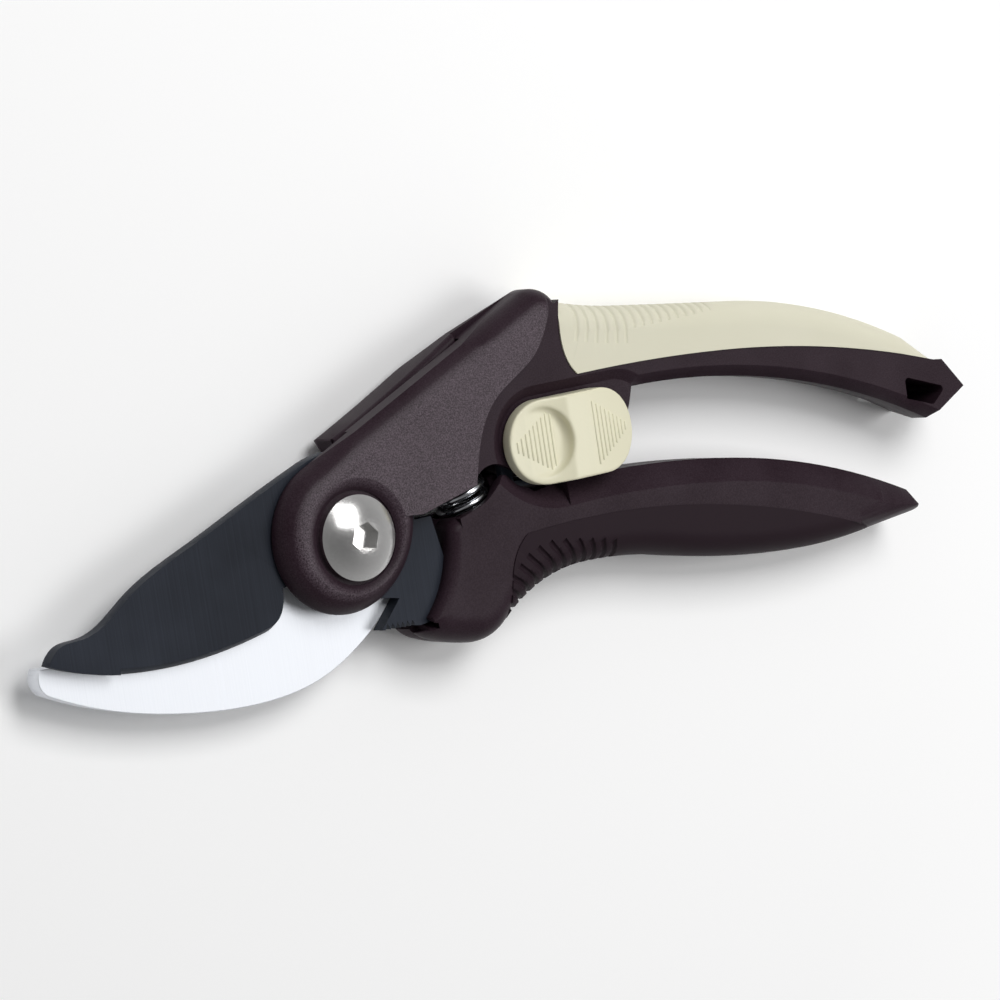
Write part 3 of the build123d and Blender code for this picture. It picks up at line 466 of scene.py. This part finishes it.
lowerGripSet = {"arcs": (((51.5, -44.84), 30.34, 40.0), ((51.5, -95.1), 80.6, 0.0)), "first": 2.6,
                "pitch": 2.25, "slant": (-30.0, -4.2), "top": 14.4, "radius": 0.6, "lift": 0.1,
                "lengths": (4.6, 5.6, 6.6, 7.4, 8.0, 8.0, 7.6, 6.6, 5.6, 4.8, 4.2, 3.6)}


def lowerGripGrooves(s):
    grooves = []
    firstArc, secondArc = s["arcs"]
    firstRun = radians(firstArc[2] - secondArc[2]) * firstArc[1]
    for index, length in enumerate(s["lengths"]):
        run = s["first"] + index * s["pitch"]
        (x, y), radius, heading = firstArc if run < firstRun else secondArc
        angle = radians(heading) - (run if run < firstRun else run - firstRun) / radius
        normal = Vector((sin(angle), -cos(angle), 0))
        slant = radians(s["slant"][0] + s["slant"][1] * index)
        outward = Vector((cos(slant), sin(slant), 0))
        edge = (Vector((x, y, 0)) - normal * radius) * mm
        grooves.append((edge, outward, length, 1 / outward.dot(normal)))
    return grooves


lowerGripMesh = groovedGrip("lower_grip", lowerGripGrooves(lowerGripSet), lowerGripSet)
lowerGrip = newPiece("aubergineLowerGrip", lowerGripMesh, aubergineRubber, "lower_handle")
lowerGrip.modifiers.new("evenShading", "WEIGHTED_NORMAL").keep_sharp = True
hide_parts("lower_grip")
print("lower grip:", len(lowerGrip.data.polygons), "faces")


# lock button: a cream dome with a thumb scoop, and two groups of ridges in the shape of arrows

buttonSet = {"voxel": 0.17, "smoothing": 30, "centre": 9.6, "ridge": 0.3, "proud": 0.2, "above": 40,
             "left": {"first": 36.9, "pitch": 1.0, "count": 9, "lengths": (2.2, 12.0)},
             "right": {"first": 61.2, "pitch": -0.98, "count": 9, "lengths": (1.8, 12.0)}}


def ridgedButton(s):
    mesh = finished(mergedCopy("lock_button"), [
        ("REMESH", {"mode": "VOXEL", "voxel_size": s["voxel"] * mm, "use_smooth_shade": True}),
        ("SMOOTH", {"factor": 0.5, "iterations": s["smoothing"]})])
    bm = bmesh.new()
    bm.from_mesh(mesh)
    tree = BVHTree.FromBMesh(bm)
    lift = Vector((0, 0, (s["proud"] - s["ridge"]) * mm))
    for side in ("left", "right"):
        group = s[side]
        shortest, longest = group["lengths"]
        for index in range(group["count"]):
            x = group["first"] + group["pitch"] * index
            length = shortest + (longest - shortest) * index / (group["count"] - 1)
            hit = tree.ray_cast(Vector((x, s["centre"], s["above"])) * mm, Vector((0, 0, -1)))[0]
            ball = bmesh.ops.create_uvsphere(bm, u_segments=10, v_segments=8, radius=s["ridge"] * mm)["verts"]
            for end in (1, -1):
                half = [v for v in ball if v.co.y * end > 1e-9]
                bmesh.ops.translate(bm, verts=half, vec=(0, end * (length / 2 - s["ridge"]) * mm, 0))
            bmesh.ops.translate(bm, verts=ball, vec=hit + lift)
    bm.to_mesh(mesh)
    bm.free()
    smoothFaces(mesh, 60)
    return mesh


lockButton = newPiece("creamLockButton", ridgedButton(buttonSet), creamAcetal, "lock_slider")
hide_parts("lock_button")
print("lock button:", len(lockButton.data.polygons), "faces")


# return spring: one wire in six turns, which stretches between its two seats

springSet = {"middle": (28.6, 2.8, 7.0), "angle": 104.0, "above": 8.0, "below": 7.0, "radius": 4.5,
             "wire": 1.6, "turns": 6, "end": 1.03, "stepsPerTurn": 28, "segments": 12}


def coilSpring(s):
    axis = Vector((cos(radians(s["angle"])), sin(radians(s["angle"])), 0))
    foot = Vector(s["middle"]) - axis * s["below"]
    head = Vector(s["middle"]) + axis * s["above"]
    rise = s["above"] + s["below"] - 2 * s["end"]
    steps = s["turns"] * s["stepsPerTurn"]
    around = axis.cross(Vector((0, 0, 1))) * 2 * pi * s["radius"] * s["turns"]
    along = (around + axis * rise).normalized()
    start = foot + axis * s["end"] + Vector((0, 0, s["radius"]))
    place = Matrix.Translation(start * mm) @ along.to_track_quat("Z", "Y").to_matrix().to_4x4()
    bm = bmesh.new()
    bmesh.ops.create_circle(bm, segments=s["segments"], radius=s["wire"] / 2 * mm, matrix=place)
    first = list(bm.edges)
    made = bmesh.ops.spin(bm, geom=first, cent=foot * mm, axis=axis, dvec=axis * rise / steps * mm,
                          angle=2 * pi * s["turns"], steps=steps, use_duplicate=False)
    last = [g for g in made["geom_last"] if isinstance(g, bmesh.types.BMEdge)]
    for loop in (first, last):
        bmesh.ops.contextual_create(bm, geom=loop)
    bmesh.ops.recalc_face_normals(bm, faces=bm.faces)
    mesh = bpy.data.meshes.new("returnSpringCoil")
    bm.to_mesh(mesh)
    bm.free()
    smoothFaces(mesh, 50)
    return mesh, head * mm, foot * mm


springMesh, springHead, springFoot = coilSpring(springSet)
returnSpring = newPiece("returnSpringCoil", springMesh, springSteel, None)
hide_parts("return_spring")
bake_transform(returnSpring)
print("return spring:", len(springMesh.polygons), "faces")
